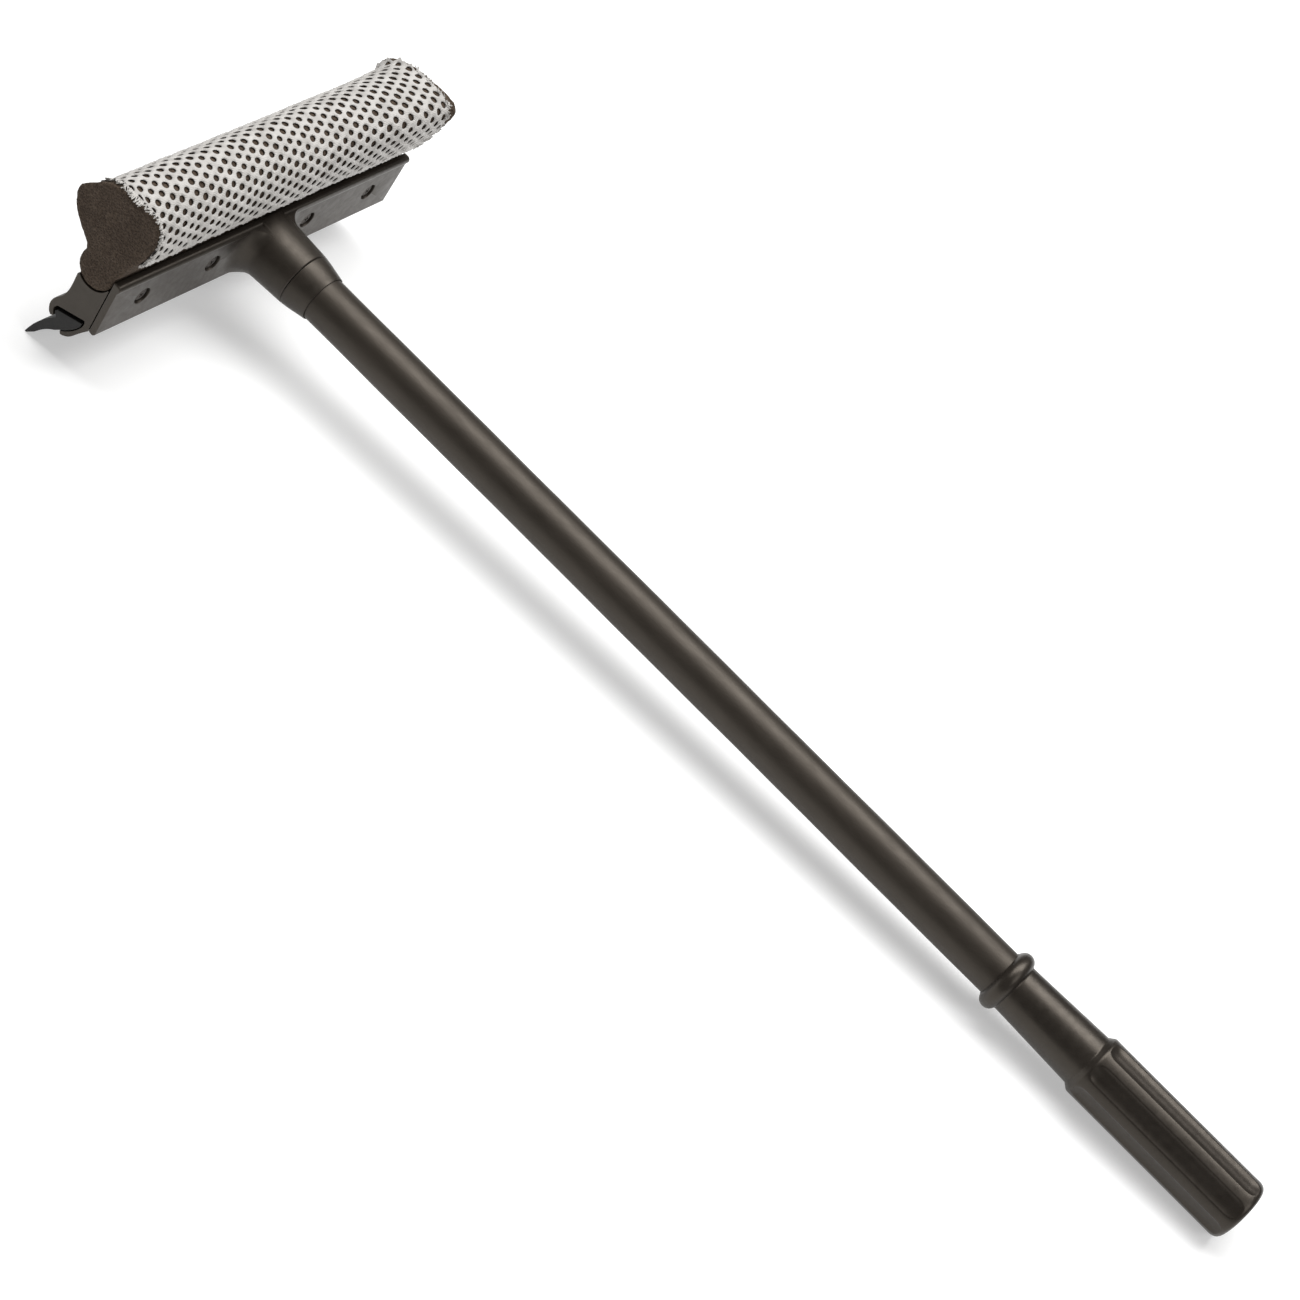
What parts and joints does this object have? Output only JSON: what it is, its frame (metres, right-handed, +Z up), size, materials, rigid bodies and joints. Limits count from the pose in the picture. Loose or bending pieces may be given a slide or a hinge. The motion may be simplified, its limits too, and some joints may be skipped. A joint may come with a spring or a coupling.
{
  "type": "hand window washer with squeegee",
  "caption": "Hand window washer: netted sponge roll and rubber squeegee blade on a straight head, carried by a round pole with a fluted grip.",
  "frame": {"origin": "on the table, under the middle of the tool's bounding box, as it lies on the blade's lip and the grip's rim", "axes": "+X along the head, +Y from the grip to the head, level with the table, +Z up, towards the sponge's crown"},
  "size_m": [0.203, 0.6272, 0.0964],
  "materials": {
    "head_plastic": "satin moulded",
    "pole_plastic": "satin",
    "grip_plastic": "soft gloss",
    "plug_plastic": "plain moulded",
    "foam": "open cell foam",
    "netting": "knitted mesh",
    "rubber": "smooth",
    "dark_steel": "black oxide",
    "plain_steel": "zinc plated"
  },
  "bodies": {
    "washer": {"front_moulding": "head_plastic", "rear_moulding": "head_plastic", "clamp_screw_1": "dark_steel", "clamp_screw_2": "dark_steel", "clamp_screw_3": "dark_steel", "clamp_screw_4": "dark_steel", "handle_screw": "plain_steel", "sponge": "foam", "sponge_net": "netting", "socket_ferrule": "pole_plastic", "pole_tube": "pole_plastic", "pole_plug": "plug_plastic", "grip_sleeve": "grip_plastic"},
    "blade": {"rubber_blade": "rubber"}
  },
  "joints": [
    {"name": "blade_slide", "type": "slide", "parent": "washer", "child": "blade", "axis": [1, 0, 0], "range_m": [-0.205, 0.205]}
  ]
}
